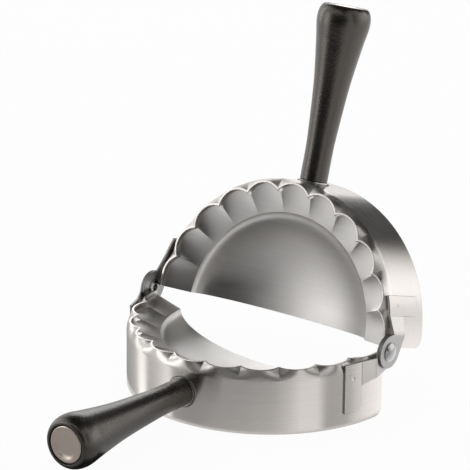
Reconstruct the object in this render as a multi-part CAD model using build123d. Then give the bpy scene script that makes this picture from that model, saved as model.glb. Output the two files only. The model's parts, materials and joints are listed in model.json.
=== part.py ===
from build123d import *
import os
from math import asin, cos, pi, radians, sin

# A hinged ravioli mould in steel sheet, with two black handles.
# Both halves are one assembly, used twice. It is modelled about the hinge line, as the half
# that lies towards -Y with its mating plane at z = 0, and is placed on the table at the end.
# Lengths are in millimetres and angles in degrees.

# Ring: the two bands together are a round cutter when the mould lies open
ring_radius = 50.0
band_sheet = 0.8
skirt_height = 23.3
rim_clearance = 0.15
end_gap = 1.0
foot_corner_radius = 3.5
rim_corner_radius = 0.8

# Scalloped rim: it leans in all round, and is pressed in to a sharp cusp between each two petals
lobe_count = 11
rim_lean = 0.8
cusp_depth = 2.5
flute_height = 4.2
# Each three: share of the flute's height from the rim, shares of the lean and cusp depth there
flute_shares = [(0.0, 1.0, 1.0), (0.25, 0.62, 0.48), (0.55, 0.25, 0.1), (1.0, 0.0, 0.0)]

# Tray: fluted flange under the rim, lip against the band, dished pocket
tray_sheet = 0.6
seat_gap = 0.1
flange_drop = 2.0
flange_fall = 3.0
lip_height = 5.0
pocket_radius = 38.0
pocket_depth = 12.0

# Hinge brackets: strip welded on the band, arm towards the hinge, round lug
bracket_sheet = 0.8
strip_near_angle = 14.1
strip_far_angle = 22.0
strip_length = 18.4
strip_corner_radius = 1.6
arm_height = 8.7
bend_height = 7.1
lug_radius = 5.9
bend_clearance = 0.3
bracket_top_drop = 0.5
band_to_lug_gap = 0.85
lug_running_gap = 0.1
weld_dimple_ball = 1.0
weld_dimple_depth = 0.25
# Shares of the strip's length, from the rim, where it is welded
weld_dimple_shares = [0.31, 0.76]

# Rivets: domed head outside, peened hollow tail inside
rivet_radius = 2.0
rivet_clearance = 0.05
rivet_head_radius = 3.35
rivet_head_height = 1.5
rivet_head_edge = 0.3
rivet_tail_radius = 2.9
rivet_tail_height = 0.5
rivet_bore_radius = 1.3
rivet_bore_depth = 1.6

# Handle: stud welded to the band, grip, washer, nut and end cap
handle_drop = 11.6
handle_tilt = 1.4
handle_reach = 113.7
foot_radius = 5.3
foot_thickness = 0.5
stud_radius = 2.0
grip_bore_clearance = 0.1
neck_radius = 4.95
neck_length = 10.0
neck_edge = 0.4
crest_radius = 9.6
crest_setback = 5.0
grip_lip = 0.3
# Each pair: share of the flare's length from the neck, share of its swelling there
flare_shares = [(0.23, 0.11), (0.47, 0.29), (0.6, 0.43), (0.77, 0.67), (0.9, 0.875)]
cap_radius = 6.55
cap_gap = 0.45
cap_sink = 0.3
cap_thickness = 1.0
cap_rim_width = 0.7
cap_dish_depth = 0.35
cap_spigot_length = 1.6
cap_spigot_wall = 0.6
cap_spigot_clearance = 0.1
nut_across_flats = 7.0
nut_height = 3.2
washer_margin = 0.45
washer_thickness = 0.8
nut_pocket_clearance = 0.3
thread_clearance = 0.05
stud_past_nut = 1.0
stud_end_room = 0.6

# Pose in the photograph: the rear half stands this far above lying flat
rear_rise = 71.7

# One overrun serves every cut
overrun = 3.0

rim_z = -rim_clearance
foot_z = rim_z - skirt_height
pitch = pi / lobe_count
flute_end_z = rim_z - flute_height
inner_lug_x = ring_radius + band_to_lug_gap
outer_lug_x = inner_lug_x + bracket_sheet + lug_running_gap
bend_y = -(lug_radius + bend_clearance)
strip_middle_angle = (strip_near_angle + strip_far_angle) / 2


def lobe_point(crest_angle, share, inset, depth, z):
    """A point on one petal, from cusp (share -1) over crest (0) to cusp (1)."""
    half_pitch = pitch / 2
    cusp_radius = ring_radius - depth
    spread = ring_radius - cusp_radius * cos(half_pitch)
    centre = (ring_radius**2 - cusp_radius**2) / (2 * spread)
    lobe_radius = ring_radius - centre - inset
    turn = share * (half_pitch + asin(centre * sin(half_pitch) / lobe_radius))
    out = centre + lobe_radius * cos(turn)
    side = lobe_radius * sin(turn)
    x = out * sin(crest_angle) + side * cos(crest_angle)
    y = side * sin(crest_angle) - out * cos(crest_angle)
    return Vector(x, y, z)


def half_moon(inset, depth, z):
    """A level section of one half: petals round the front, closed behind the hinge line."""
    half_count = lobe_count // 2
    last_crest = half_count * pitch
    radius = ring_radius - inset

    def arc(crest_angle, shares):
        return ThreePointArc(*[lobe_point(crest_angle, s, inset, depth, z) for s in shares])

    def plain_arc(angles):
        return ThreePointArc(*[Vector(radius * sin(a), -radius * cos(a), z) for a in angles])

    edges = [plain_arc([-pi / 2, -(pi / 2 + last_crest) / 2, -last_crest])]
    edges.append(arc(-last_crest, (0, 0.5, 1)))
    for k in range(1 - half_count, half_count):
        edges.append(arc(k * pitch, (-1, 0, 1)))
    edges.append(arc(last_crest, (-1, -0.5, 0)))
    edges.append(plain_arc([last_crest, (pi / 2 + last_crest) / 2, pi / 2]))
    corners = [(radius, 0, z), (radius, overrun, z), (-radius, overrun, z), (-radius, 0, z)]
    edges += [Line(a, b) for a, b in zip(corners, corners[1:])]
    return Face(Wire(edges))


def rim_body(inset, over=0.0, under=0.0):
    """All that lies inside the band's wall at this inset, from the rim to the foot."""
    sections = [
        half_moon(inset + rim_lean * lean, cusp_depth * cusp, rim_z - flute_height * height)
        for height, lean, cusp in flute_shares
    ]
    body = loft(sections)
    body += extrude(sections[-1], flute_end_z - foot_z + under, dir=(0, 0, -1))
    if over:
        body += extrude(sections[0], over, dir=(0, 0, 1))
    return body


def end_envelope(corner_radius):
    """Keeps a piece behind the hinge gap, with its lower end corners rounded."""
    back = -(ring_radius + overrun)
    side = Polyline((back, rim_z), (-end_gap, rim_z), (-end_gap, foot_z), (back, foot_z), close=True)
    face = make_face(side)
    corners = face.vertices().group_by(Axis.X)[-1].sort_by(Axis.Y)
    face = fillet(corners[0], corner_radius)
    top = face.vertices().sort_by(Axis.Y)[-2:].sort_by(Axis.X)[-1]
    face = fillet(top, rim_corner_radius)
    width = ring_radius + overrun
    return extrude(Plane.YZ * face, width, both=True)


def make_band():
    """Half of the cutter ring, with the scalloped rim fading into the plain skirt."""
    outer = rim_body(0.0)
    inner = rim_body(band_sheet, over=overrun, under=overrun)
    return (outer - inner) & end_envelope(foot_corner_radius)


def level_slab(top_z, height):
    """A wide slab that hangs from this level."""
    size = 2 * (ring_radius + overrun)
    return Pos(0, 0, top_z) * Box(size, size, height, align=(Align.CENTER, Align.CENTER, Align.MAX))


def bowl(radius, depth, mouth_z):
    """The lower half of a flattened ball, with its mouth at this level."""
    arc = EllipticalCenterArc((0, 0), radius, depth, start_angle=270, arc_size=90)
    section = make_face([arc, Line((0, 0), (0, -depth)), Line((0, 0), (radius, 0))])
    return Pos(0, 0, mouth_z) * revolve(Plane.XZ * section, Axis.Z)


def make_tray():
    """The tray: fluted flange, lip against the band's wall, dished pocket."""
    seat = band_sheet + seat_gap
    top_z = rim_z - flange_drop
    low_z = top_z - flange_fall
    seat_body = rim_body(seat)
    fluted_edge = half_moon(seat + rim_lean, cusp_depth, top_z)
    pocket_edge = half_moon(ring_radius - pocket_radius, 0.0, low_z)
    above = loft([fluted_edge, pocket_edge], ruled=True)
    below = Pos(0, 0, -tray_sheet) * above + (seat_body & level_slab(top_z, tray_sheet))
    below += bowl(pocket_radius + tray_sheet, pocket_depth + tray_sheet, low_z)
    lip = (seat_body - rim_body(seat + tray_sheet)) & level_slab(top_z, lip_height)
    tray = below + lip - above - bowl(pocket_radius, pocket_depth, low_z)
    return tray & end_envelope(rim_corner_radius)


def bracket_plan(lug_x):
    """The bracket's sheet seen from above: welded strip, arm, lug."""
    near, middle, far = [
        radians(a) for a in (strip_near_angle, strip_middle_angle, strip_far_angle)
    ]

    def wall_point(angle, radius):
        return Vector(radius * cos(angle), -radius * sin(angle))

    def side(radius, x):
        strip = ThreePointArc(*[wall_point(a, radius) for a in (far, middle, near)])
        return strip, [wall_point(near, radius), Vector(x, bend_y), Vector(x, lug_radius)]

    inner_strip, inner_line = side(ring_radius, lug_x)
    outer_strip, outer_line = side(ring_radius + bracket_sheet, lug_x + bracket_sheet)
    edges = [inner_strip, Polyline(*inner_line), Line(inner_line[-1], outer_line[-1])]
    edges += [Polyline(*outer_line), outer_strip, Line(outer_strip @ 0, inner_strip @ 0)]
    return make_face(edges)


def bracket_outline():
    """The bracket seen from the side: lug, arm and strip as one flag, in the Y-Z plane."""
    mid_radius = ring_radius + bracket_sheet / 2
    near_y = -mid_radius * sin(radians(strip_near_angle))
    far_y = -(ring_radius + bracket_sheet) * sin(radians(strip_far_angle)) - overrun
    top_z = -bracket_top_drop
    arm_z = top_z - arm_height
    bend_z = top_z - bend_height
    strip_z = rim_z - strip_length
    root = Polyline((bend_y, top_z), (bend_y, bend_z))
    lug = make_hull(Circle(lug_radius).edges() + root.edges())
    arm = make_face(
        Polyline((bend_y, top_z), (near_y, top_z), (near_y, arm_z), (bend_y, bend_z), close=True)
    )
    strip = make_face(
        Polyline((near_y, top_z), (far_y, top_z), (far_y, strip_z), (near_y, strip_z), close=True)
    )
    corner = strip.vertices().sort_by(Axis.Y)[:2].sort_by(Axis.X)[-1]
    return lug + arm + fillet(corner, strip_corner_radius)


def make_bracket(lug_x):
    """A hinge bracket on the +X side: one bent sheet, cut to the flag outline."""
    height = foot_z - overrun
    sheet = Pos(0, 0, height) * extrude(bracket_plan(lug_x), lug_radius + overrun - height)
    flag = extrude(Plane.YZ * bracket_outline(), ring_radius + 4 * overrun)
    bracket = sheet & flag
    hole = Cylinder(rivet_radius + rivet_clearance, 4 * overrun, rotation=(0, 90, 0))
    bracket -= Pos(lug_x, 0, 0) * hole
    ball_radius = ring_radius + bracket_sheet + weld_dimple_ball - weld_dimple_depth
    angle = radians(strip_middle_angle)
    for length_share in weld_dimple_shares:
        weld_z = rim_z - strip_length * length_share
        place = Pos(ball_radius * cos(angle), -ball_radius * sin(angle), weld_z)
        bracket -= place * Sphere(weld_dimple_ball)
    return bracket


def make_rivet():
    """The rivet on the +X side, along X: domed head, shank, peened hollow tail."""
    tail_x = inner_lug_x - rivet_tail_height
    head_x = outer_lug_x + bracket_sheet + rivet_clearance
    edge_x = head_x + rivet_head_edge
    rise = rivet_head_height - rivet_head_edge
    dome_radius = (rivet_head_radius**2 + rise**2) / (2 * rise)
    crown_x = head_x + rivet_head_height
    lean = asin(rivet_head_radius / dome_radius) / 2
    dome_mid = (crown_x - dome_radius * (1 - cos(lean)), dome_radius * sin(lean))
    bore_x = tail_x + rivet_bore_depth
    outline = [
        Polyline(
            (bore_x, 0), (bore_x, rivet_bore_radius), (tail_x, rivet_bore_radius),
            (tail_x, rivet_tail_radius - rivet_tail_height),
        ),
        RadiusArc(
            (tail_x, rivet_tail_radius - rivet_tail_height),
            (inner_lug_x, rivet_tail_radius), rivet_tail_height,
        ),
        Polyline(
            (inner_lug_x, rivet_tail_radius), (inner_lug_x, rivet_radius), (head_x, rivet_radius),
            (head_x, rivet_head_radius), (edge_x, rivet_head_radius),
        ),
        ThreePointArc((edge_x, rivet_head_radius), dome_mid, (crown_x, 0)),
        Line((crown_x, 0), (bore_x, 0)),
    ]
    return revolve(make_face(outline), Axis.X)


cap_recess_radius = cap_radius + cap_gap
grip_end_radius = cap_recess_radius + grip_lip
nut_corner_radius = nut_across_flats / 2 / cos(pi / 6)
washer_radius = nut_corner_radius + washer_margin
nut_pocket_radius = washer_radius + nut_pocket_clearance
grip_length = handle_reach - ring_radius - foot_thickness
cap_seat_s = handle_reach - ring_radius - cap_sink - cap_thickness
nut_seat_s = cap_seat_s - stud_end_room - stud_past_nut - nut_height - washer_thickness


def on_handle(shape):
    """Moves a piece made along +Z, with z = 0 at the band's wall, to the front handle."""
    tilt = radians(handle_tilt)
    root = Plane(
        origin=(0, -ring_radius, -handle_drop), x_dir=(1, 0, 0), z_dir=(0, -cos(tilt), sin(tilt))
    )
    return root.location * shape


def turned(edges):
    """Turns a closed outline, drawn as (radius, length), about the handle's line."""
    return revolve(Plane.XZ * make_face(edges), Axis.Z)


def make_stud():
    """The steel rod in the handle, with a weld foot shaped to the band."""
    wall = Cylinder(ring_radius, 2 * skirt_height)
    top_s = nut_seat_s + washer_thickness + nut_height + stud_past_nut
    upright = Align.CENTER, Align.CENTER, Align.MIN
    foot = Pos(0, 0, -overrun) * Cylinder(foot_radius, foot_thickness + overrun, align=upright)
    rod = Cylinder(stud_radius, top_s, align=upright)
    return on_handle(foot + rod) - wall


def make_grip():
    """The handle's grip: straight neck, trumpet flare, rounded shoulder, bore and pockets."""
    root_s = foot_thickness
    end_s = root_s + grip_length
    crest_s = end_s - crest_setback
    neck_s = root_s + neck_length
    flare = [(neck_radius, neck_s)]
    for length_share, swell_share in flare_shares:
        radius = neck_radius + (crest_radius - neck_radius) * swell_share
        flare.append((radius, neck_s + (crest_s - neck_s) * length_share))
    flare.append((crest_radius, crest_s))
    bore = stud_radius + grip_bore_clearance
    shoulder = EllipticalCenterArc(
        (grip_end_radius, crest_s), crest_radius - grip_end_radius, crest_setback,
        start_angle=0, arc_size=90,
    )
    edges = [
        Polyline((bore, root_s), (neck_radius - neck_edge, root_s)),
        RadiusArc((neck_radius - neck_edge, root_s), (neck_radius, root_s + neck_edge), -neck_edge),
        Line((neck_radius, root_s + neck_edge), flare[0]),
        Spline(*flare, tangents=[(0, 1), (0, 1)]),
        shoulder,
        Polyline(
            (grip_end_radius, end_s), (cap_recess_radius, end_s), (cap_recess_radius, cap_seat_s),
            (nut_pocket_radius, cap_seat_s), (nut_pocket_radius, nut_seat_s),
            (bore, nut_seat_s), (bore, root_s),
        ),
    ]
    return on_handle(turned(edges))


def make_washer():
    """The washer on the floor of the nut pocket."""
    hole = stud_radius + grip_bore_clearance
    ring = Circle(washer_radius) - Circle(hole)
    return on_handle(Pos(0, 0, nut_seat_s) * extrude(ring, washer_thickness))


def make_nut():
    """The hexagon nut on the stud, its outer corners turned off."""
    hexagon = RegularPolygon(nut_across_flats / 2, 6, major_radius=False)
    nut = extrude(hexagon - Circle(stud_radius + thread_clearance), nut_height)
    cone = Pos(0, 0, nut_height / 2) * Cylinder(nut_corner_radius, nut_height)
    cone = chamfer(cone.edges().group_by(Axis.Z)[-1], nut_corner_radius - nut_across_flats / 2)
    return on_handle(Pos(0, 0, nut_seat_s + washer_thickness) * (nut & cone))


def make_cap():
    """The steel disc at the grip's end: dished face, plain rim, spigot in the nut pocket."""
    top_s = cap_seat_s + cap_thickness
    dish_edge = cap_radius - cap_rim_width
    ball = (dish_edge**2 + cap_dish_depth**2) / (2 * cap_dish_depth)
    lean = asin(dish_edge / ball) / 2
    dish_mid = (ball * sin(lean), top_s - cap_dish_depth + ball * (1 - cos(lean)))
    spigot = nut_pocket_radius - cap_spigot_clearance
    spigot_bore = spigot - cap_spigot_wall
    spigot_s = cap_seat_s - cap_spigot_length
    edge = cap_rim_width / 2
    outline = [
        Polyline(
            (0, top_s - cap_dish_depth), (0, cap_seat_s), (spigot_bore, cap_seat_s),
            (spigot_bore, spigot_s), (spigot, spigot_s), (spigot, cap_seat_s),
            (cap_radius, cap_seat_s), (cap_radius, top_s - edge),
        ),
        RadiusArc((cap_radius, top_s - edge), (cap_radius - edge, top_s), -edge),
        Line((cap_radius - edge, top_s), (dish_edge, top_s)),
        ThreePointArc((dish_edge, top_s), dish_mid, (0, top_s - cap_dish_depth)),
    ]
    return on_handle(turned(outline))


def make_half():
    """Every piece of one half, as the front one lies, by name."""
    half_turn = Rot(0, 0, 180)
    return {
        "band": make_band(),
        "tray": make_tray(),
        "inner_bracket": make_bracket(inner_lug_x),
        "outer_bracket": half_turn * mirror(make_bracket(outer_lug_x), Plane.XZ),
        "handle_stud": make_stud(),
        "grip": make_grip(),
        "grip_washer": make_washer(),
        "grip_nut": make_nut(),
        "end_cap": make_cap(),
    }


def main():
    """Builds both halves and the rivets, stands them on the table and writes each piece."""
    half = make_half()
    rivet = make_rivet()
    raised = Rot(rear_rise, 0, 0) * Rot(0, 0, 180)
    pieces = {f"front_{name}": shape for name, shape in half.items()}
    pieces |= {f"rear_{name}": raised * shape for name, shape in half.items()}
    pieces["right_rivet"] = rivet
    pieces["left_rivet"] = raised * rivet
    box = Compound(list(pieces.values())).bounding_box()
    place = Pos(-box.center().X, -box.center().Y, -foot_z)
    print("hinge line at y", round(-box.center().Y, 3), "z", round(-foot_z, 3))
    print("size", box.size)
    os.makedirs("parts", exist_ok=True)
    for name, shape in pieces.items():
        export_step(place * shape, f"parts/{name}.step")


main()
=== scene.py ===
# %% [markdown]
# # A hinged ravioli mould in brushed steel
# The mould is two half rings on one hinge, each with a pressed tray and a black handle. The CAD
# model already holds every piece at its real size, so this lesson gives the pieces their
# finishes, models the pressed end caps and the weld beads, and sets up a small studio.
# Everything is in metres, in the frame of the CAD model.

# %% Load the CAD model
import bmesh
import bpy
import json
from math import cos, pi, radians, sin
from mathutils import Matrix, Vector


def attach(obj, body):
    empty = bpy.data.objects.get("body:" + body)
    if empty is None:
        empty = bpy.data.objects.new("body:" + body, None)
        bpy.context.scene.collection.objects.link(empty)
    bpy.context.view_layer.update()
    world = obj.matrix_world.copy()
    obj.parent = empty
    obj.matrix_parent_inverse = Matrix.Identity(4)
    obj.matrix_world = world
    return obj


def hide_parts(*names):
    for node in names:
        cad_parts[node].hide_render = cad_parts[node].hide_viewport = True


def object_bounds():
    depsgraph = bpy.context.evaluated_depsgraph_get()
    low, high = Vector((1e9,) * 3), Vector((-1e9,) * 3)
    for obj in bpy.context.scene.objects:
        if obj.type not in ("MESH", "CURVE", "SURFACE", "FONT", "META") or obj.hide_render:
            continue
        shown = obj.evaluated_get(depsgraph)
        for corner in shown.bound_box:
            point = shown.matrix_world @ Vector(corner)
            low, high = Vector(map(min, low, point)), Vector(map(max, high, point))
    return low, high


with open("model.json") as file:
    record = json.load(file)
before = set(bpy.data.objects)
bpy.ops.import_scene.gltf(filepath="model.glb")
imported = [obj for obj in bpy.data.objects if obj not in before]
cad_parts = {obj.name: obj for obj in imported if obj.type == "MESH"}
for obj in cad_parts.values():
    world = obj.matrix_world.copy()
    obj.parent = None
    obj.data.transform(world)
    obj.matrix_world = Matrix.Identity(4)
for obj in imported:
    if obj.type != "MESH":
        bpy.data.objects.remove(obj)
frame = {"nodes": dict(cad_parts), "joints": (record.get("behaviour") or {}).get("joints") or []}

cad_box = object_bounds()
pieces = frame["nodes"]
hinge = frame["joints"][0]
print("pieces:", sorted(pieces))
print("hinge:", hinge["name"])

# %% [markdown]
# ## Sizes that the finishes need
# The ring's axis and the hinge line come back again and again: brush lines run round the ring,
# and the rear half is the front one turned half round and stood up on the hinge. They are named
# once here. A half's own frame has its origin where the hinge line crosses the ring's axis.

# %% Sizes and places of the mould
hinge_line = Vector((0, 0.03023, 0.02345))
ring_radius = 0.050
rear_rise = radians(71.7)
# Each half: where its own frame lies, and how far it has turned about the hinge
half_places = {"front": (hinge_line, 0.0), "rear": (hinge_line, rear_rise)}
print("ring radius, mm:", ring_radius * 1000)

# %% [markdown]
# ## The camera
# A product photograph is taken from far away with a long lens, so that the ring doesn't look
# stretched. The camera's place is worked out from the viewing angle: 36 degrees to the right of
# the handle, 20 degrees above the table, and turned by half a degree about its own line of sight.

# %% Camera
view_azimuth = radians(36.365)
view_elevation = radians(20.0075)
view_roll = radians(0.5585)
view_distance = 1.37512
aim = Vector((-0.074145, 0.110965, 0.01508))
picture_pixels = 470
focal_pixels = 3580.53
sensor_width = 36.0
farthest_seen = 20.0

backward = Vector((
    sin(view_azimuth) * cos(view_elevation),
    -cos(view_azimuth) * cos(view_elevation),
    sin(view_elevation),
))
level_right = Vector((cos(view_azimuth), sin(view_azimuth), 0))
level_up = backward.cross(level_right)
right = cos(view_roll) * level_right + sin(view_roll) * level_up
up = cos(view_roll) * level_up - sin(view_roll) * level_right

camera_data = bpy.data.cameras.new("camera")
camera_data.sensor_width = sensor_width
camera_data.lens = focal_pixels / picture_pixels * sensor_width
camera_data.clip_end = farthest_seen
camera = bpy.data.objects.new("camera", camera_data)
bpy.context.scene.collection.objects.link(camera)
turn = Matrix((right, up, backward)).transposed().to_4x4()
camera.matrix_world = Matrix.Translation(aim + view_distance * backward) @ turn
bpy.context.scene.camera = camera
bpy.context.scene.view_settings.view_transform = "Standard"
print("lens, mm:", round(camera_data.lens, 1))

# %% [markdown]
# ## Small helpers for shader nodes
# A material is a tree of nodes, and typing every node out makes it long. The first two helpers
# put a number or a wire into a socket, and add a node with its inputs filled. All lengths in the
# materials are metres.

# %% Helpers: wires and nodes
def put(tree, socket, value):
    """Wires an output to this input, or types a plain value into it."""
    if isinstance(value, bpy.types.NodeSocket):
        tree.links.new(value, socket)
    elif isinstance(value, (tuple, Vector)) and len(socket.default_value) == 4:
        socket.default_value = (*value[:3], 1.0)
    else:
        socket.default_value = value


def add(tree, kind, inputs=(), **settings):
    """Adds a shader node, sets its menus, and fills the named or numbered inputs."""
    made = tree.nodes.new("ShaderNode" + kind)
    for name, value in settings.items():
        setattr(made, name, value)
    for name, value in dict(inputs).items():
        put(tree, made.inputs[name], value)
    return made


# %% [markdown]
# ### Sums, ranges and spots
# Most masks come from three things: soft random spots, sums with them, and a range of values
# stretched to 0 and 1. So each of them gets a helper.

# %% Helpers: sums, ranges and spots
def calc(tree, operation, *values):
    """One sum with a Math node; gives back its output."""
    made = add(tree, "Math", operation=operation)
    for place, value in enumerate(values):
        put(tree, made.inputs[place], value)
    return made.outputs[0]


def add_up(tree, total, *parts):
    """A base value, plus each mask times its amount."""
    for mask, amount in parts:
        total = calc(tree, "ADD", total, calc(tree, "MULTIPLY", mask, amount))
    return total


def spread(tree, value, low, high, new_low=0.0, new_high=1.0):
    """Stretches a value from one range to another, and cuts it off there."""
    made = add(tree, "MapRange", {
        "Value": value, "From Min": low, "From Max": high, "To Min": new_low, "To Max": new_high,
    })
    return made.outputs["Result"]


def noise(tree, place, scale, detail, roughness=0.5):
    """Soft random spots, about 1 / scale metres apart."""
    made = add(tree, "TexNoise", {
        "Vector": place, "Scale": scale, "Detail": detail, "Roughness": roughness,
    })
    return made.outputs["Fac"]


# %% [markdown]
# ### Node groups
# A pattern that several materials share is made once, as a node group with named sockets, and
# each material places it with values of its own.

# %% Helpers: node groups
def new_group(name, inputs, outputs):
    """A node group with named sockets: inputs are (name, kind, value), outputs (name, kind)."""
    tree = bpy.data.node_groups.new(name, "ShaderNodeTree")
    sockets = tree.interface
    for title, kind, value in inputs:
        socket = sockets.new_socket(title, in_out="INPUT", socket_type="NodeSocket" + kind)
        if value is not None:
            socket.default_value = value
    for title, kind in outputs:
        sockets.new_socket(title, in_out="OUTPUT", socket_type="NodeSocket" + kind)
    given = tree.nodes.new("NodeGroupInput").outputs
    result = tree.nodes.new("NodeGroupOutput").inputs
    print("node group:", name, given.keys()[:-1], "to", result.keys()[:-1])
    return tree, given, result


def use(tree, group, **inputs):
    """Places a node group in a material, with its own values; gives back its outputs."""
    made = tree.nodes.new("ShaderNodeGroup")
    made.node_tree = group
    for name, value in inputs.items():
        put(tree, made.inputs[name], value)
    return made.outputs


# %% [markdown]
# ## Node group: where a point lies on the ring
# Brush lines run round a band because the sheet was brushed along its length before it was bent.
# So their pattern has to be laid out along the ring and across it. This group turns a place in
# the half's own frame into two lengths: along the wall, and up it.

# %% Group: round the ring
round_ring, given, result = new_group(
    "round the ring",
    [("Place", "Vector", None)],
    [("Along", "Float"), ("Across", "Float")],
)
split = add(round_ring, "SeparateXYZ", {"Vector": given["Place"]}).outputs
turned_by = calc(round_ring, "ARCTAN2", split["X"], calc(round_ring, "MULTIPLY", split["Y"], -1.0))
put(round_ring, result["Along"], calc(round_ring, "MULTIPLY", turned_by, ring_radius))
put(round_ring, result["Across"], split["Z"])

# %% [markdown]
# ## Node group: brush lines
# Brushed steel shows fine lines of many widths. Three noises are stretched along the grain: hair
# lines, broader streaks, and a few long scratches. The group gives a height for the bumps, and
# two masks that vary from 0 to 1. A noise gives values round 0.5, so the masks stretch the part
# that is in use, and the scratches take only the rare high values.

# %% Group: brush lines
brush_lines, given, result = new_group(
    "brush lines",
    [("Along", "Float", 0.0), ("Across", "Float", 0.0)],
    [("Height", "Float"), ("Streak", "Float"), ("Scratch", "Float")],
)


def grain(along_scale, across_scale, detail):
    """Noise stretched along the grain; the scales are spots a metre along it and across it."""
    place = add(brush_lines, "CombineXYZ", {
        "X": calc(brush_lines, "MULTIPLY", given["Along"], along_scale),
        "Y": calc(brush_lines, "MULTIPLY", given["Across"], across_scale),
    }).outputs["Vector"]
    return noise(brush_lines, place, 1.0, detail)


hair_lines = grain(90.0, 6500.0, 3.0)
broad_streaks = grain(22.0, 1400.0, 2.0)
long_scratches = grain(35.0, 2600.0, 0.0)
streak_height_share = 0.25
line_range = (0.3, 0.7)
scratch_range = (0.74, 0.82)
put(brush_lines, result["Height"], add_up(
    brush_lines, hair_lines, (broad_streaks, streak_height_share)
))
put(brush_lines, result["Streak"], add_up(
    brush_lines, 0.0,
    (spread(brush_lines, hair_lines, *line_range), 0.5),
    (spread(brush_lines, broad_streaks, *line_range), 0.5),
))
put(brush_lines, result["Scratch"], spread(brush_lines, long_scratches, *scratch_range))

# %% [markdown]
# ## Node group: softened edges
# No cut edge of a steel sheet is perfectly sharp: it is tumbled or polished, and the tiny round
# catches the light as a bright line. The Bevel node rounds the shading without touching the
# mesh, and where its normal leaves the true one there is an edge, which gives a mask too. The
# steel materials lay a brighter colour on that mask: a painted highlight on the edges.

# %% Group: softened edges
bevel_samples = 6
# How alike the two normals are where no edge shows, and where the mask is full
edge_likeness = (0.995, 0.90)
soft_edges, given, result = new_group(
    "softened edges",
    [("Radius", "Float", 0.0002)],
    [("Normal", "Vector"), ("Edge", "Float")],
)
rounded = add(soft_edges, "Bevel", {"Radius": given["Radius"]}, samples=bevel_samples)
rounded = rounded.outputs["Normal"]
true_normal = add(soft_edges, "NewGeometry").outputs["Normal"]
likeness = add(soft_edges, "VectorMath", {0: rounded, 1: true_normal}, operation="DOT_PRODUCT")
put(soft_edges, result["Normal"], rounded)
put(soft_edges, result["Edge"], spread(soft_edges, likeness.outputs["Value"], *edge_likeness))

# %% [markdown]
# ## Node group: calm centre
# Where a turned face closes on its own axis, hundreds of thin triangles meet in one point, and
# their shading is uneven. Close to that point this group goes over to the plain face normal and
# takes the edge mask away, so that a rivet's dome stays smooth in its middle.

# %% Group: calm centre
# Distances from the centre: calm up to the first, as the mesh is beyond the second
calm_radii = (0.0004, 0.0008)
calm_centre, given, result = new_group(
    "calm centre",
    [
        ("Place", "Vector", None), ("Centre", "Vector", None),
        ("Normal", "Vector", None), ("Edge", "Float", 0.0),
    ],
    [("Normal", "Vector"), ("Edge", "Float")],
)
centre_distance = add(
    calm_centre, "VectorMath", {0: given["Place"], 1: given["Centre"]}, operation="DISTANCE"
).outputs["Value"]
away = spread(calm_centre, centre_distance, *calm_radii)
flat_normal = add(calm_centre, "NewGeometry").outputs["True Normal"]
# A Mix node of the vector kind has its share at input 0, its vectors at 4 and 5
calm_mix = add(calm_centre, "Mix", data_type="VECTOR")
put(calm_centre, calm_mix.inputs[0], away)
put(calm_centre, calm_mix.inputs[4], flat_normal)
put(calm_centre, calm_mix.inputs[5], given["Normal"])
put(calm_centre, result["Normal"], calm_mix.outputs[1])
put(calm_centre, result["Edge"], calc(calm_centre, "MULTIPLY", given["Edge"], away))

# %% [markdown]
# ## Node group: handling marks
# A tool that is used has faint cloudy marks where hands and cloths wiped it, and a few specks.
# They change the gloss more than the colour, so the group gives a soft mask for each. The clouds
# are about 18 mm apart, the specks about 1 mm.

# %% Group: handling marks
handling, given, result = new_group(
    "handling marks",
    [("Place", "Vector", None)],
    [("Cloud", "Float"), ("Speck", "Float")],
)
clouds = noise(handling, given["Place"], 55.0, 4.0, 0.6)
specks = noise(handling, given["Place"], 900.0, 1.0)
cloud_range = (0.35, 0.68)
speck_range = (0.66, 0.78)
put(handling, result["Cloud"], spread(handling, clouds, *cloud_range))
put(handling, result["Speck"], spread(handling, specks, *speck_range))

# %% [markdown]
# ## Places for the patterns
# Both halves are the same assembly, and the rear one stands up on the hinge. A Mapping node of
# the Texture kind undoes that turn, so the pattern on the rear half is laid out as on the front.

# %% Place in the half's own frame
def own_place(tree, half):
    """Object coordinates, moved and turned back to the half's own frame."""
    line, rise = half_places[half]
    coordinates = add(tree, "TexCoord").outputs["Object"]
    mapping = add(tree, "Mapping", {"Vector": coordinates}, vector_type="TEXTURE")
    mapping.inputs["Location"].default_value = line
    mapping.inputs["Rotation"].default_value = (rise, 0.0, 0.0)
    return mapping.outputs["Vector"]


def own_direction(tree, half, direction):
    """A direction in the half's own frame, as the tangent that a shader needs."""
    rise = half_places[half][1]
    in_object = Matrix.Rotation(rise, 3, "X") @ Vector(direction)
    vector = add(tree, "CombineXYZ", {"X": in_object.x, "Y": in_object.y, "Z": in_object.z})
    return add(
        tree, "VectorTransform", {"Vector": vector.outputs["Vector"]},
        vector_type="VECTOR", convert_from="OBJECT", convert_to="WORLD",
    ).outputs["Vector"]


for half, (_, rise) in half_places.items():
    print(half, "half turned by, radians:", round(rise, 4))

# %% [markdown]
# ## Starting a material
# Every finish starts from a bare Principled shader. Two more helpers give it small bumps, and mix
# two colours by a mask.

# %% A bare material, bumps and mixed colours
def empty_tree(owner):
    """Switches the nodes of a material or a world on, and starts with none."""
    owner.use_nodes = True
    owner.node_tree.nodes.clear()
    return owner.node_tree


def new_material(name):
    """An empty material with a Principled shader."""
    material = bpy.data.materials.new(name)
    tree = empty_tree(material)
    shader = add(tree, "BsdfPrincipled")
    output = add(tree, "OutputMaterial")
    tree.links.new(shader.outputs["BSDF"], output.inputs["Surface"])
    return material, tree, shader.inputs


def set_bumps(tree, shader, height, depth, normal):
    """Gives the shader small bumps, on top of a normal that is already softened."""
    bump = add(tree, "Bump", {"Height": height, "Distance": depth, "Strength": 1.0})
    put(tree, bump.inputs["Normal"], normal)
    put(tree, shader["Normal"], bump.outputs["Normal"])


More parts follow.
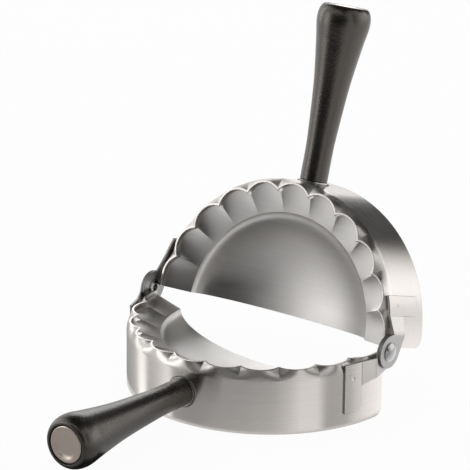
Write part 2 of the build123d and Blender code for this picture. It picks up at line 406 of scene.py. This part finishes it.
def mix_colour(tree, share, first, second):
    """From the first colour to the second, by a mask."""
    made = add(tree, "Mix", data_type="RGBA")
    put(tree, made.inputs["Factor"], share)
    colours = [socket for socket in made.inputs if socket.type == "RGBA"]
    put(tree, colours[0], first)
    put(tree, colours[1], second)
    return [socket for socket in made.outputs if socket.type == "RGBA"][0]


# %% [markdown]
# ## Brushed steel for the bands
# The bands are stainless sheet with a satin brush finish. A brushed face mirrors its
# surroundings sharply along the lines and smears them across, which the shader calls
# anisotropy. It needs a direction: the ring's own axis, across the lines.

# %% Colours and sizes of the band steel
steel_light = (0.59, 0.56, 0.535)
steel_dark = (0.54, 0.51, 0.485)
steel_pressed = (0.58, 0.555, 0.53)
# A brighter colour for the edges: a painted highlight
painted_edge_highlight = (0.80, 0.79, 0.78)
band_edge_radius = 0.0004
band_highlight_amount = 0.25
band_line_depth = 0.6e-6
print("band lines, micrometres deep:", round(band_line_depth * 1e6, 2))

# %% [markdown]
# ### A mask for the pressed flutes
# The brush doesn't reach into the flutes of the rim, so there the sheet is as the press left it,
# duller and even in colour. The flutes are the only places where the wall leans, and that makes
# the mask. It is worked out from the surface's normal and the half's own upright direction.

# %% Mask: pressed flutes
# How far a normal leans up or down: where a flute's mask starts and is full, and where the cut
# rim's own face ends and starts again to take it away
flute_lean = (0.10, 0.35)
cut_rim_lean = (0.98, 0.90)


def pressed_flute(tree, up):
    """A mask for faces that lean up or down: the pressed flutes, but not the cut rim itself."""
    normal = add(tree, "NewGeometry").outputs["Normal"]
    lean = add(tree, "VectorMath", {0: normal, 1: up}, operation="DOT_PRODUCT").outputs["Value"]
    lean = calc(tree, "ABSOLUTE", lean)
    leaning, not_cut = spread(tree, lean, *flute_lean), spread(tree, lean, *cut_rim_lean)
    return calc(tree, "MULTIPLY", leaning, not_cut)


# %% [markdown]
# ### The band's material
# Now the parts come together: two greys mixed by the streaks, a painted highlight on the edges,
# a roughness that changes with the streaks, scratches and handling marks, and fine bumps from
# the brush lines.

# %% Material: brushed band steel
def band_steel(half):
    """Satin stainless steel, brushed round the ring."""
    material, tree, shader = new_material(f"{half} brushed band steel")
    place = own_place(tree, half)
    ring = use(tree, round_ring, Place=place)
    lines = use(tree, brush_lines, Along=ring["Along"], Across=ring["Across"])
    marks = use(tree, handling, Place=place)
    edges = use(tree, soft_edges, Radius=band_edge_radius)
    up = own_direction(tree, half, (0, 0, 1))
    flute = pressed_flute(tree, up)
    colour = mix_colour(tree, lines["Streak"], steel_dark, steel_light)
    colour = mix_colour(tree, flute, colour, steel_pressed)
    # Painted highlight: a brighter colour on the edges
    painted_highlight_share = calc(tree, "MULTIPLY", edges["Edge"], band_highlight_amount)
    colour = mix_colour(tree, painted_highlight_share, colour, painted_edge_highlight)
    put(tree, shader["Base Color"], colour)
    shader["Metallic"].default_value = 1.0
    shader["Anisotropic"].default_value = 0.9
    put(tree, shader["Roughness"], add_up(
        tree, 0.19,
        (lines["Streak"], 0.04), (flute, 0.13), (marks["Cloud"], 0.03), (lines["Scratch"], 0.08),
    ))
    put(tree, shader["Tangent"], up)
    set_bumps(tree, shader, lines["Height"], band_line_depth, edges["Normal"])
    return material


# %% [markdown]
# ## Satin steel for the trays and the end caps
# These are stamped from sheet that was brushed flat, so the grain is straight here. The trays
# are a little duller than the bands, and the caps smoother and warmer in colour. The numbers of
# each one are given where it is made.

# %% Material: straight-grained sheet
sheet_edge_radius = 0.0002
sheet_highlight_amount = 0.6
sheet_line_depth = 2e-6


def sheet_steel(name, half, along, across, light, dark, base_roughness):
    """Satin stainless sheet with straight grain along one axis of the half's own frame."""
    material, tree, shader = new_material(f"{half} {name}")
    place = own_place(tree, half)
    axes = add(tree, "SeparateXYZ", {"Vector": place}).outputs
    lines = use(tree, brush_lines, Along=axes[along], Across=axes[across])
    marks = use(tree, handling, Place=place)
    edges = use(tree, soft_edges, Radius=sheet_edge_radius)
    colour = mix_colour(tree, lines["Streak"], dark, light)
    # Painted highlight: a brighter colour on the edges
    painted_highlight_share = calc(tree, "MULTIPLY", edges["Edge"], sheet_highlight_amount)
    colour = mix_colour(tree, painted_highlight_share, colour, painted_edge_highlight)
    put(tree, shader["Base Color"], colour)
    shader["Metallic"].default_value = 1.0
    put(tree, shader["Roughness"], add_up(
        tree, base_roughness, (lines["Streak"], 0.05), (marks["Cloud"], 0.05)
    ))
    set_bumps(tree, shader, lines["Height"], sheet_line_depth, edges["Normal"])
    return material


print("sheet lines, micrometres deep:", round(sheet_line_depth * 1e6, 2))

# %% [markdown]
# ## Two finishes on a hinge plate
# The welded strip is brushed together with the band after welding, so it shines the same way.
# The arm and the lug stay as they came from the press: duller, with only the sheet's faint
# grain. A mask across the plate, at the strip's near edge, switches from one to the other, and
# a thin dark line of painted shade lies where the brush stopped. The lug is painted darker than
# the arm, as painted shade, and darkest, also painted shade, are the sheared edges, which are the
# faces that don't look sideways.

# %% Sizes and colours of a hinge plate
strip_near_edge = 0.0125
stop_line_width = 0.0003
lug_edge = 0.0065
lug_blur = 0.001
# How far a face looks sideways: a flat face above the first, a sheared edge below the second
sheared_range = (0.75, 0.60)
plate_light = (0.61, 0.585, 0.56)
plate_dark = (0.54, 0.515, 0.49)
# Painted shade: a darker lug, a dark line at the strip's near edge, and dark sheared edges
lug_painted_shade = (0.37, 0.36, 0.355)
shade_line_colour = (0.36, 0.35, 0.34)
sheared_shade_colour = (0.19, 0.185, 0.18)
arm_roughness = 0.32
strip_roughness = 0.21
arm_line_share = 0.4
plate_line_depth = 0.8e-6
print("brushed strip starts, mm from the hinge:", round(strip_near_edge * 1000, 1))

# %% [markdown]
# ### The hinge plate's material
# Each mask lays one colour over the last: arm, lug in painted shade, strip, a dark line of
# painted shade, and painted shade on the sheared edge. The same strip mask makes the arm rougher
# than the strip, and its brush lines shallower.

# %% Material: hinge plate
def plate_steel(half):
    """Pressed hinge plate, with the band's brushed finish on its welded strip."""
    material, tree, shader = new_material(f"{half} hinge plate steel")
    place = own_place(tree, half)
    ring = use(tree, round_ring, Place=place)
    lines = use(tree, brush_lines, Along=ring["Along"], Across=ring["Across"])
    marks = use(tree, handling, Place=place)
    edges = use(tree, soft_edges, Radius=band_edge_radius)
    from_hinge = calc(tree, "ABSOLUTE", add(tree, "SeparateXYZ", {"Vector": place}).outputs["Y"])
    stop_line = strip_near_edge - stop_line_width
    strip = spread(tree, from_hinge, stop_line, strip_near_edge)
    brushed = mix_colour(tree, lines["Streak"], steel_dark, steel_light)
    pressed = mix_colour(tree, marks["Cloud"], plate_dark, plate_light)
    # Painted shade: the lug darker than the arm
    lug_shade_mask = spread(tree, from_hinge, lug_edge + lug_blur, lug_edge - lug_blur)
    pressed = mix_colour(tree, lug_shade_mask, pressed, lug_painted_shade)
    colour = mix_colour(tree, strip, pressed, brushed)
    # Painted shade: a dark line where the brush stopped
    from_line = calc(tree, "ABSOLUTE", calc(tree, "SUBTRACT", from_hinge, stop_line))
    shade_line_mask = spread(tree, from_line, stop_line_width, 0.0)
    colour = mix_colour(tree, shade_line_mask, colour, shade_line_colour)
    # Painted shade: the sheared edges darkest
    sideways = add(tree, "SeparateXYZ", {
        "Vector": add(tree, "NewGeometry").outputs["True Normal"],
    }).outputs["X"]
    sheared_shade_mask = spread(tree, calc(tree, "ABSOLUTE", sideways), *sheared_range)
    colour = mix_colour(tree, sheared_shade_mask, colour, sheared_shade_colour)
    put(tree, shader["Base Color"], colour)
    shader["Metallic"].default_value = 1.0
    shader["Anisotropic"].default_value = 0.8
    rough = spread(tree, strip, 0.0, 1.0, arm_roughness, strip_roughness)
    put(tree, shader["Roughness"], add_up(
        tree, rough, (lines["Streak"], 0.04), (marks["Cloud"], 0.05)
    ))
    put(tree, shader["Tangent"], own_direction(tree, half, (0, 0, 1)))
    line_share = spread(tree, strip, 0.0, 1.0, arm_line_share, 1.0)
    height = calc(tree, "MULTIPLY", lines["Height"], line_share)
    set_bumps(tree, shader, height, plate_line_depth, edges["Normal"])
    return material


# %% [markdown]
# ## Polished steel for the rivets, nuts and washers
# The rivet heads are polished bright. Polishing leaves no grain, only faint specks, so the
# roughness is low and the surroundings show as a small picture in the dome.

# %% Material: polished steel
fastener_edge_radius = 0.0001
speck_depth = 4e-6


def polished_steel(name, half, light, dark, roughness, centre=(0.0, 0.0, 0.0)):
    """Polished steel, with a calm middle where the piece closes on its axis."""
    material, tree, shader = new_material(name)
    place = own_place(tree, half)
    marks = use(tree, handling, Place=place)
    edges = use(tree, soft_edges, Radius=fastener_edge_radius)
    edges = use(
        tree, calm_centre, Place=place, Centre=centre, Normal=edges["Normal"], Edge=edges["Edge"]
    )
    put(tree, shader["Base Color"], mix_colour(tree, marks["Cloud"], dark, light))
    shader["Metallic"].default_value = 1.0
    put(tree, shader["Roughness"], add_up(
        tree, roughness, (marks["Cloud"], 0.05), (marks["Speck"], 0.1)
    ))
    set_bumps(tree, shader, marks["Speck"], speck_depth, edges["Normal"])
    return material


print("specks, micrometres deep:", round(speck_depth * 1e6, 2))

# %% [markdown]
# ## Black plastic for the handles
# The grips are moulded in a black plastic with a silky surface. The mould leaves a fine grain
# that softens and mottles the reflections, and these have a warm, brownish tint.

# %% Material: black plastic
plastic_light = (0.012, 0.0105, 0.009)
plastic_dark = (0.007, 0.006, 0.005)
plastic_tint = (1.0, 0.92, 0.84, 1.0)
plastic_edge_radius = 0.0003
pebble_depth = 60e-6


def black_plastic(half):
    """Silky black moulded plastic."""
    material, tree, shader = new_material(f"{half} black plastic")
    place = own_place(tree, half)
    marks = use(tree, handling, Place=place)
    edges = use(tree, soft_edges, Radius=plastic_edge_radius)
    pebbles = noise(tree, place, 1500.0, 3.0, 0.65)
    colour = mix_colour(tree, marks["Cloud"], plastic_dark, plastic_light)
    put(tree, shader["Base Color"], colour)
    shader["IOR"].default_value = 1.8
    shader["Specular Tint"].default_value = plastic_tint
    put(tree, shader["Roughness"], add_up(
        tree, 0.22, (marks["Cloud"], 0.05), (pebbles, 0.08)
    ))
    set_bumps(tree, shader, pebbles, pebble_depth, edges["Normal"])
    return material


print("plastic grain, micrometres deep:", round(pebble_depth * 1e6, 2))

# %% [markdown]
# ## Give every piece its finish
# Each CAD piece keeps its mesh and gets a new material in its slots. The right rivet turns with
# the front half and the left one with the rear half, so their patterns are laid out like that.

# %% Assign the finishes
tray_light, tray_dark = (0.60, 0.585, 0.57), (0.53, 0.515, 0.50)
tray_roughness = 0.30
fastener_light, fastener_dark = (0.62, 0.62, 0.62), (0.54, 0.54, 0.54)
fastener_roughness = 0.22
rivet_light, rivet_dark = (0.36, 0.36, 0.36), (0.31, 0.31, 0.31)
rivet_roughness = 0.16
# How far from the middle of the hinge line a rivet's dome has its highest point
rivet_crown = 0.0541


def finish_piece(name, material):
    """Puts a material in every slot of a CAD piece."""
    piece = pieces[name]
    for slot in piece.material_slots:
        slot.material = material
    print(name, "->", material.name)


for half in ("front", "rear"):
    finish_piece(f"{half}_band", band_steel(half))
    finish_piece(f"{half}_tray", sheet_steel(
        "tray sheet", half, "X", "Y", tray_light, tray_dark, tray_roughness
    ))
    plate = plate_steel(half)
    finish_piece(f"{half}_inner_bracket", plate)
    finish_piece(f"{half}_outer_bracket", plate)
    bright = polished_steel(
        f"{half} fastener steel", half, fastener_light, fastener_dark, fastener_roughness
    )
    for part in ("handle_stud", "grip_washer", "grip_nut"):
        finish_piece(f"{half}_{part}", bright)
    finish_piece(f"{half}_grip", black_plastic(half))
for side, half, crown in (("right", "front", rivet_crown), ("left", "rear", -rivet_crown)):
    finish_piece(f"{side}_rivet", polished_steel(
        f"{side} rivet steel", half, rivet_light, rivet_dark, rivet_roughness, (crown, 0, 0)
    ))

# %% [markdown]
# ## End caps
# A pressed cap closes each handle. Its face is a flat floor that sweeps up to a rolled rim, and
# that sweep catches the light as a crescent. It is a turned part, so one outline is spun about
# the handle's line: up from the middle of the face, over the rim, down the side and round the
# spigot that holds it in the nut's pocket.

# %% Outline of an end cap
handle_drop = 0.0116
handle_tilt = radians(1.4)
face_from_root = 0.0637
# Pairs of radius and height in millimetres, where height 0 is the level of the handle's end
cap_outline = [
    (0.0, -0.62), (1.5, -0.62), (2.6, -0.615), (3.2, -0.59), (3.7, -0.53), (4.2, -0.42),
    (4.7, -0.29), (5.2, -0.16), (5.6, -0.08), (5.95, -0.03), (6.15, -0.02), (6.32, -0.06),
    (6.45, -0.15), (6.53, -0.29), (6.55, -0.45), (6.55, -1.3), (4.69, -1.3), (4.69, -2.9),
    (4.09, -2.9), (4.09, -1.3), (0.0, -1.3),
]
print("cap outline points:", len(cap_outline))

# %% [markdown]
# ### Spinning the caps
# The outline is spun in 96 steps. Then the cap is moved to the end of the front handle, and for
# the rear half turned about the upright axis and stood up on the hinge, as the CAD pieces are.

# %% End caps
cap_steps = 96
cap_sharp_angle = radians(50)
same_point = 1e-6
cap_light, cap_dark = (0.60, 0.515, 0.45), (0.53, 0.455, 0.40)
cap_roughness = 0.17


def place_in_half(mesh, half):
    """Moves a mesh from the front half's own frame to its place on either half."""
    line, rise = half_places[half]
    place = Matrix.Translation(line) @ Matrix.Rotation(rise, 4, "X")
    if half == "rear":
        place = place @ Matrix.Rotation(pi, 4, "Z")
    mesh.transform(place)


def end_cap(half):
    """A cap spun from its outline, in place of the plain disc of the CAD model."""
    shape = bmesh.new()
    points = [shape.verts.new((radius / 1000, 0, height / 1000)) for radius, height in cap_outline]
    edges = [shape.edges.new(pair) for pair in zip(points, points[1:])]
    bmesh.ops.spin(
        shape, geom=points + edges, cent=(0, 0, 0), axis=(0, 0, 1), angle=2 * pi, steps=cap_steps
    )
    bmesh.ops.remove_doubles(shape, verts=shape.verts, dist=same_point)
    bmesh.ops.recalc_face_normals(shape, faces=shape.faces)
    for face in shape.faces:
        face.smooth = True
    mesh = bpy.data.meshes.new(f"{half}_cap_face")
    shape.to_mesh(mesh)
    shape.free()
    mesh.set_sharp_from_angle(angle=cap_sharp_angle)
    along_handle = Matrix.Translation((0, 0, face_from_root))
    stand = Matrix.Rotation(pi / 2 - handle_tilt, 4, "X") @ along_handle
    mesh.transform(Matrix.Translation((0, -ring_radius, -handle_drop)) @ stand)
    place_in_half(mesh, half)
    cap = bpy.data.objects.new(f"{half}_cap_face", mesh)
    bpy.context.scene.collection.objects.link(cap)
    mesh.materials.append(sheet_steel(
        "end cap steel", half, "Z", "X", cap_light, cap_dark, cap_roughness
    ))
    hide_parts(f"{half}_end_cap")
    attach(cap, f"{half}_half")
    print(cap.name, "faces:", len(mesh.polygons))


for half in ("front", "rear"):
    end_cap(half)

# %% [markdown]
# ## Weld beads at the handles' roots
# Each handle's stud is welded to the skirt, and the weld leaves a thin bead round its foot. It
# starts as a thin torus of 72 steps round the foot, and is then laid on the skirt: a point that
# is further to the side lies further back, because the skirt is round. Half of its thickness
# lies in the sheet, so a half-round bead shows. A little unevenness along it shows that it was
# run by hand.

# %% Weld beads
weld_radius = 0.0053
bead_width = 0.0006
bead_height = 0.0003
bead_points = 72
bead_sides = 12
ripple_depth = 0.18
ripple_count = 23
# Painted shade: the weld is painted dark grey for the shade round the handle's root
weld_shaded_light, weld_shaded_dark = (0.28, 0.27, 0.26), (0.18, 0.175, 0.17)
weld_roughness = 0.35


def root_weld(half):
    """A bead round the stud's foot, in the half's own frame, then turned to its place."""
    bpy.ops.object.select_all(action="DESELECT")
    bpy.ops.mesh.primitive_torus_add(
        major_segments=bead_points, minor_segments=bead_sides,
        major_radius=weld_radius + bead_width / 2, minor_radius=bead_width / 2,
        location=(0, 0, 0), rotation=(pi / 2, 0, 0),
    )
    weld = bpy.context.object
    weld.name = f"{half}_root_weld"
    bpy.ops.object.transform_apply(location=False, rotation=True, scale=False)
    for number, vertex in enumerate(weld.data.vertices):
        x, y, z = vertex.co
        ripple = 1 + ripple_depth * sin(number // bead_sides * 2 * pi / bead_points * ripple_count)
        back = ring_radius - (ring_radius**2 - x**2) ** 0.5
        proud = y * bead_height * 2 / bead_width * ripple
        vertex.co = (x, -ring_radius + back + proud, z - handle_drop)
    place_in_half(weld.data, half)
    bpy.ops.object.shade_smooth()
    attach(weld, f"{half}_half")
    weld.data.materials.clear()
    weld.data.materials.append(polished_steel(
        f"{half} weld steel", half, weld_shaded_light, weld_shaded_dark, weld_roughness
    ))
    print(weld.name, "points:", len(weld.data.vertices))


for half in ("front", "rear"):
    root_weld(half)

# %% [markdown]
# ## The studio
# A flat white paper, a white room, one large soft lamp above and smaller ones at the sides and
# behind, and dark cards that polished metal needs to look like metal. The camera doesn't see the
# lamps and the cards; the steel does. The paper comes first. It looks plain white to the camera
# and in the steel, and to the light it is matt paper.

# %% Floor
plain_white = (1.0, 1.0, 1.0)
floor_size = 12.0
floor_drop = 0.0001
floor_glow = 0.95


def bare_plane(name, width, depth):
    """A rectangle that belongs to the studio, with its own mesh."""
    bpy.ops.object.select_all(action="DESELECT")
    bpy.ops.mesh.primitive_plane_add(size=1.0)
    plane = bpy.context.object
    plane.name = name
    plane.data.transform(Matrix.Diagonal((width, depth, 1.0, 1.0)))
    return plane


def seen_directly(tree):
    """1 for rays from the camera, off gloss or through glass, and 0 for the light itself."""
    rays = add(tree, "LightPath").outputs
    return calc(tree, "MAXIMUM", rays["Is Camera Ray"], calc(
        tree, "MAXIMUM", rays["Is Glossy Ray"], rays["Is Transmission Ray"]
    ))


floor = bare_plane("studio_floor", floor_size, floor_size)
floor.location.z = -floor_drop
paper = bpy.data.materials.new("white paper")
tree = empty_tree(paper)
glow_share = calc(tree, "MULTIPLY", seen_directly(tree), floor_glow)
matt = add(tree, "BsdfDiffuse", {"Color": plain_white}).outputs["BSDF"]
white = add(tree, "Emission", {"Color": plain_white, "Strength": 1.0}).outputs["Emission"]
floor_mix = add(tree, "MixShader", {0: glow_share, 1: matt, 2: white})
add(tree, "OutputMaterial", {"Surface": floor_mix.outputs[0]})
floor.data.materials.append(paper)
print("floor size, m:", floor_size)

# %% [markdown]
# ### The white room
# The room round the mould looks plain white as well. To the light it is dimmer, so that the
# lamps still shape the mould.

# %% Room
room_light = 0.55
room = bpy.data.worlds.new("white room")
bpy.context.scene.world = room
tree = empty_tree(room)
strength = spread(tree, seen_directly(tree), 0.0, 1.0, room_light, 1.0)
background = add(tree, "Background", {"Color": plain_white, "Strength": strength})
add(tree, "OutputWorld", {"Surface": background.outputs[0]})
print("room light:", room_light)

# %% [markdown]
# ### Lamps
# Azimuths are measured as for the camera: 0 is in front of the handle, and positive is to the
# right. Each lamp is given by azimuth and elevation in degrees, then distance, width and height
# in metres, then its brightness. That is what a mirror would show of it, where 1 is white, and
# the lamp's power follows from it and the area. The big lamp above only lights the mould: the
# steel doesn't mirror it.

# %% Lamps
subject = Vector((0, 0.03, 0.03))


def towards(azimuth, elevation):
    """The direction from the mould, from two angles in degrees."""
    a, e = radians(azimuth), radians(elevation)
    return Vector((sin(a) * cos(e), -cos(a) * cos(e), sin(e)))


def facing(thing, azimuth, elevation, distance):
    """Puts a lamp or a card at this place, turned to the mould."""
    direction = towards(azimuth, elevation)
    thing.location = subject + direction * distance
    thing.rotation_euler = direction.to_track_quat("Z", "Y").to_euler()


def soft_lamp(name, azimuth, elevation, distance, width, height, brightness):
    """A rectangular soft lamp that looks at the mould."""
    data = bpy.data.lights.new(name, "AREA")
    data.shape = "RECTANGLE"
    data.size = width
    data.size_y = height
    data.energy = brightness * pi * width * height
    lamp = bpy.data.objects.new(name, data)
    bpy.context.scene.collection.objects.link(lamp)
    facing(lamp, azimuth, elevation, distance)
    lamp.visible_camera = False
    print(name, "power, W:", round(data.energy, 1))
    return lamp


overhead_lamp = soft_lamp("overhead_lamp", 180, 76, 1.2, 1.2, 1.0, 1.0)
overhead_lamp.visible_glossy = False
soft_lamp("left_strip_lamp", -86, 12, 1.2, 0.28, 1.0, 2.0)
soft_lamp("left_front_lamp", -46, 12, 1.2, 0.44, 0.75, 1.8)
soft_lamp("right_back_lamp", 138, 13, 1.2, 1.05, 0.6, 0.95)
soft_lamp("left_back_lamp", -147, 22, 1.2, 0.51, 0.48, 1.35)

# %% [markdown]
# ### Dark cards
# The cards are dull paper, placed like the lamps. Black ones give the steel and the plastic
# their dark parts, and a grey one behind the mould keeps the rear band's shade open.

# %% Dark cards
def matt_paper(name, grey):
    """Dull coloured paper for a card."""
    paper, _, shader = new_material(name)
    shader["Base Color"].default_value = (grey, grey, grey, 1.0)
    shader["Roughness"].default_value = 0.9
    return paper


card_black = matt_paper("black card paper", 0.03)
card_grey = matt_paper("grey card paper", 0.18)


def dark_card(name, azimuth, elevation, distance, width, height, paper=card_black):
    """A dark card that the metal mirrors and the camera doesn't see."""
    card = bare_plane(name, width, height)
    facing(card, azimuth, elevation, distance)
    card.visible_camera = False
    card.visible_shadow = False
    card.data.materials.append(paper)
    print(name, "size, m:", width, "x", height)
    return card


dark_card("camera_side_card", 12, 20, 1.6, 2.6, 1.25)
dark_card("back_card", 184, 24, 1.4, 0.84, 1.35, card_grey)
dark_card("high_back_card", 156, 41, 1.4, 0.75, 0.65)
dark_card("left_back_card", -130, 50, 1.4, 1.1, 0.6)
dark_card("right_card", 87, 22, 1.4, 0.32, 1.15)
dark_card("high_front_card", 40, 56, 1.4, 0.6, 0.5)
ceiling_card = dark_card("ceiling_card", 180, 87, 1.4, 1.8, 1.8)
ceiling_card.visible_diffuse = False

# %% [markdown]
# ### Cards that lie flat
# Two cards lie on the table in front, and darken the handle from below. The one right under the
# handle's end is a painted shadow of the handle on the table. They are made flat under the
# mould, and then moved to their own places.

# %% Flat cards
card_lift = 0.0004
under = subject.z - card_lift
# Painted shadow: a dark card where the handle's shadow falls on the table
painted_handle_shadow = dark_card("painted_handle_shadow", 0, -90, under, 0.028, 0.026)
painted_handle_shadow.location = (0, -0.074, card_lift)
painted_handle_shadow.visible_diffuse = False
front_card = dark_card("front_floor_card", 0, -90, under, 1.2, 0.8)
front_card.location = (0.10, -0.95, card_lift)
front_card.visible_diffuse = False

# %% [markdown]
# ### A glowing card on the table
# The upright skirt mirrors the table right next to it, and a plain white table would make it
# flat and pale. So a card with soft grey and bright fields lies round the mould, the way papers
# are slid under the edge of a shiny pot in a studio, but this card glows: its bright fields stand
# in for lamps and its grey ones for shade on the table, a painted reflection in the skirt. Only
# glossy surfaces see it. The skirt's foot mirrors the near end of a field and its rim the parts
# further off, so each field has two brightness values. They were found by trial, with renders
# held against a photograph.

# %% Fields of the table card
# Each three: angle round the skirt from the handle in degrees, then the card's brightness next
# to the skirt and at its far end
card_fields = [
    (-60, 0.30, 0.5), (-43, 0.45, 0.6), (-36, 0.6, 0.6), (-31, 0.8, 0.8), (-29, 1.8, 1.4),
    (-24, 1.8, 1.4), (-22, 0.6, 0.6), (-18, 0.75, 0.75), (-14, 0.95, 0.9), (-8, 1.4, 1.15),
    (-5, 0.4, 0.45), (2, 0.46, 0.38), (9, 0.53, 0.35), (14, 0.6, 0.2), (26, 0.66, 0.1),
    (38, 0.78, 0.1), (45, 0.98, 0.3), (50, 1.2, 0.8), (57, 1.2, 0.9), (61, 0.65, 0.65),
    (70, 0.65, 0.65), (75, 1.05, 0.9), (82, 1.35, 1.2), (90, 1.6, 1.3), (105, 1.75, 1.3),
    (112, 1.0, 1.0),
]


def field_brightness(angle):
    """Brightness of the card at this angle, near and far, straight between the rows."""
    for (low, *first), (high, *second) in zip(card_fields, card_fields[1:]):
        if angle <= high:
            share = (angle - low) / (high - low)
            return [a + (b - a) * share for a, b in zip(first, second)]
    return card_fields[-1][1:]


first_angle, last_angle = card_fields[0][0], card_fields[-1][0]
print("table card, degrees:", first_angle, "to", last_angle)

# %% [markdown]
# ### The table card's mesh and paper
# The card is a fan of narrow faces, with two points for each degree: one next to the skirt and
# one at the far end. It fans out along the lines of sight that the skirt sends back, so the
# fields show as upright bands. The brightness is stored on the points, and the paper glows by it.

# %% Table card
card_clearance = 0.0012
card_reach = 0.22
table_card_lift = 0.0003
corners, faces, values = [], [], []
for step in range(last_angle - first_angle + 1):
    angle = first_angle + step
    a = radians(angle)
    foot = Vector((sin(a), -cos(a), 0)) * (ring_radius + card_clearance)
    sent_back = 2 * a - view_azimuth
    far_point = foot + Vector((sin(sent_back), -cos(sent_back), 0)) * card_reach
    corners += [foot, far_point]
    values += field_brightness(angle)
    if step:
        last = len(corners) - 1
        faces.append((last - 3, last - 2, last, last - 1))
card_mesh = bpy.data.meshes.new("table_card")
card_mesh.from_pydata(corners, [], faces)
brightness = card_mesh.attributes.new("brightness", "FLOAT", "POINT")
brightness.data.foreach_set("value", values)
table_card = bpy.data.objects.new("table_card", card_mesh)
bpy.context.scene.collection.objects.link(table_card)
table_card.location = (0, hinge_line.y, table_card_lift)
table_card.visible_camera = False
table_card.visible_shadow = False
table_card.visible_diffuse = False
card_glow = bpy.data.materials.new("painted reflection card")
tree = empty_tree(card_glow)
field = add(tree, "Attribute", attribute_name="brightness").outputs["Fac"]
# The card glows by its fields: painted light and shade for the skirt to mirror
shine = add(tree, "Emission", {"Color": plain_white, "Strength": field})
add(tree, "OutputMaterial", {"Surface": shine.outputs["Emission"]})
card_mesh.materials.append(card_glow)
print("card fields:", len(faces))

# %% [markdown]
# ## The CAD model's box
# Looks must not change the object's size, so the corners of the CAD model's box are printed.

# %% Finish
for corner in cad_box:
    print("corner of the CAD model's box, m:", tuple(round(number, 4) for number in corner))
